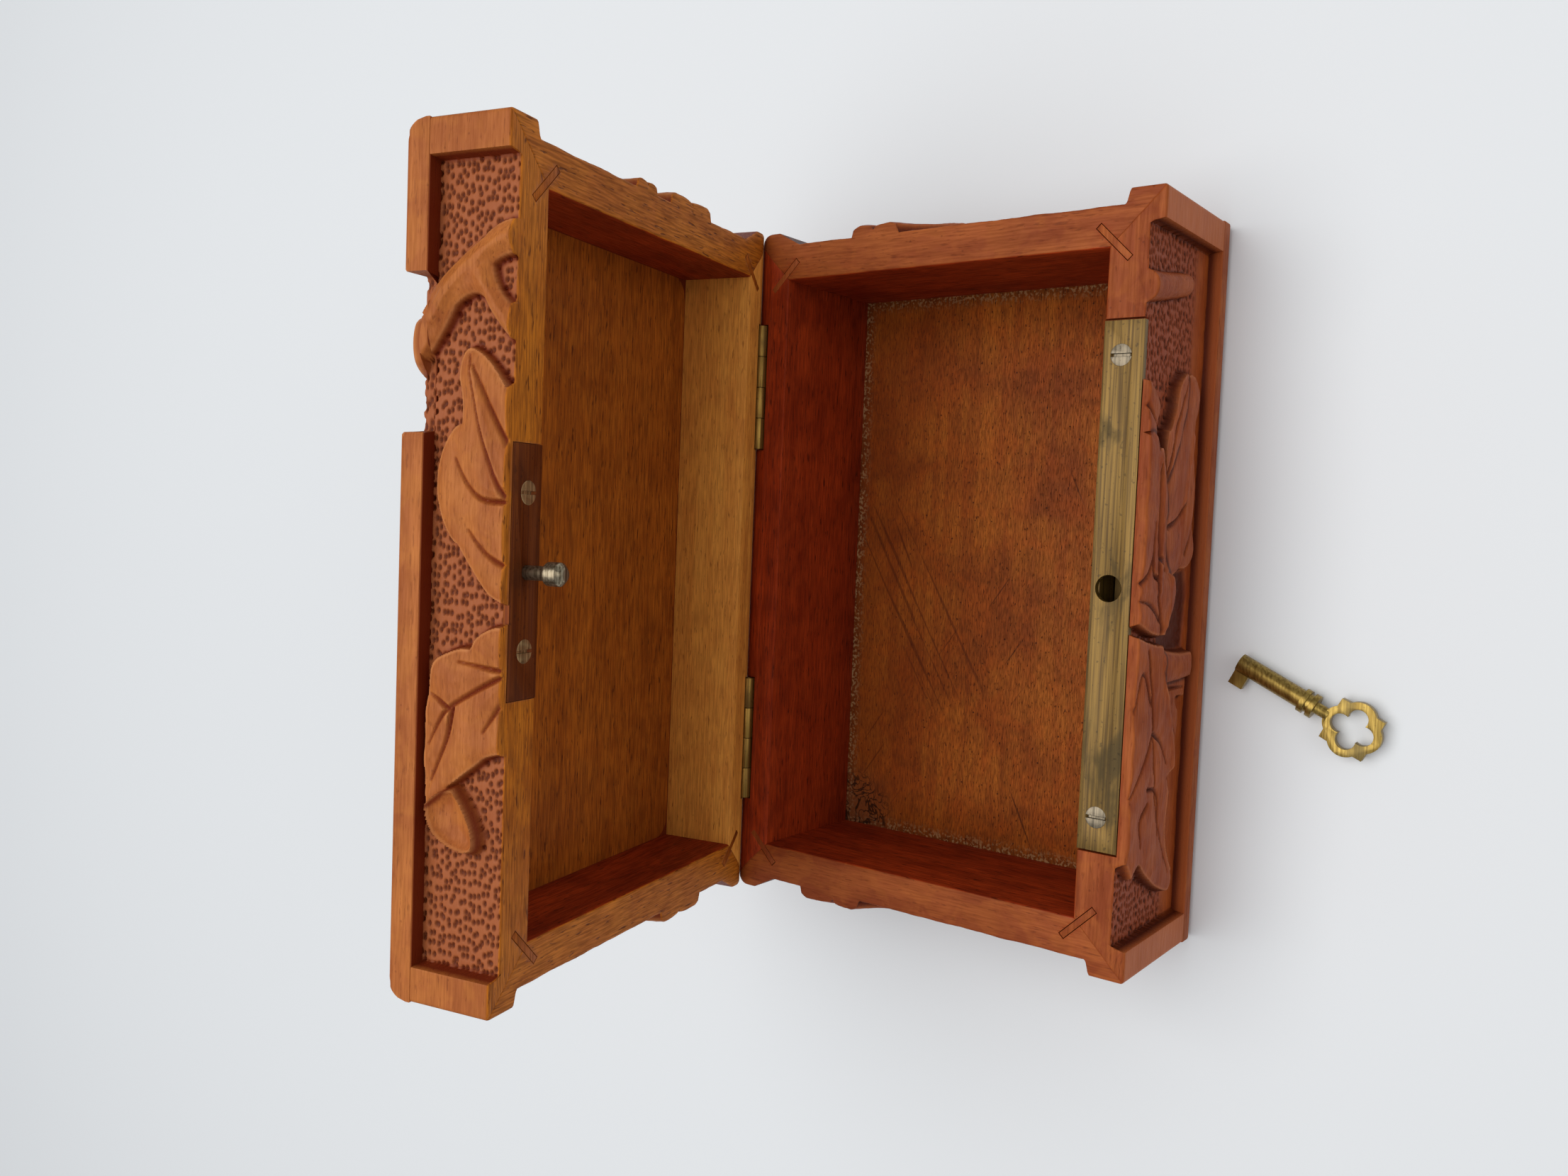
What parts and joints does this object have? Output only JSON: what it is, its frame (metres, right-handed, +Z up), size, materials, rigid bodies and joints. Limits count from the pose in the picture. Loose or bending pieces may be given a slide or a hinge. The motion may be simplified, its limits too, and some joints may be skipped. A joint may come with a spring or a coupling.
{
  "type": "carved wooden box",
  "caption": "Low rectangular box with carved leaves in sunk fields, mitred walls, an opening lid on brass hinges, a stud lock in the front rim and a loose pipe key.",
  "frame": {"origin": "centre of the base's underside, on the table", "axes": "+X along the box's length, -Y towards the lock side, +Z up"},
  "size_m": [0.15, 0.15, 0.1337],
  "materials": {
    "carved_wood": "hand carved, stained reddish brown, thin worn varnish",
    "tongue_wood": "end grain, stained with the walls",
    "lock_brass": "drawn brass, dull and tarnished in streaks",
    "hinge_brass": "aged brass",
    "key_brass": "cast brass, worn on the high places",
    "screw_steel": "worn slotted heads",
    "spring_steel": "blued strip"
  },
  "bodies": {
    "base": {"base_front_wall": "carved_wood", "base_back_wall": "carved_wood", "base_left_wall": "carved_wood", "base_right_wall": "carved_wood", "base_bottom_board": "carved_wood", "base_spline_front_left": "tongue_wood", "base_spline_front_right": "tongue_wood", "base_spline_back_left": "tongue_wood", "base_spline_back_right": "tongue_wood", "lock_face_plate": "lock_brass", "lock_back_plate": "lock_brass", "lock_cap": "lock_brass", "lock_drill_pin": "lock_brass", "lock_face_screws": "screw_steel", "hinge_left_base_leaf": "hinge_brass", "hinge_right_base_leaf": "hinge_brass", "hinge_left_pin": "hinge_brass", "hinge_right_pin": "hinge_brass", "base_hinge_nails": "hinge_brass"},
    "lid": {"lid_front_wall": "carved_wood", "lid_back_wall": "carved_wood", "lid_left_wall": "carved_wood", "lid_right_wall": "carved_wood", "lid_top_board": "carved_wood", "lid_spline_front_left": "tongue_wood", "lid_spline_front_right": "tongue_wood", "lid_spline_back_left": "tongue_wood", "lid_spline_back_right": "tongue_wood", "strike_plate": "lock_brass", "strike_stud": "lock_brass", "strike_screws": "screw_steel", "hinge_left_lid_leaf": "hinge_brass", "hinge_right_lid_leaf": "hinge_brass", "lid_hinge_nails": "hinge_brass"},
    "bolt": {"lock_bolt": "lock_brass", "bolt_spring": "spring_steel"},
    "key": {"key": "key_brass"}
  },
  "joints": [
    {"name": "lid_hinge", "type": "hinge", "parent": "base", "child": "lid", "pos_m": [0, 0.04466, 0.0381], "axis": [1, 0, 0], "range_deg": [0, 78]},
    {"name": "lock_bolt_slide", "type": "slide", "parent": "base", "child": "bolt", "axis": [1, 0, 0], "range_m": [0, 0.005]},
    {"name": "key_lift", "type": "slide", "parent": "base", "child": "key", "axis": [0, 0, 1], "range_m": [0, 0.08]}
  ]
}
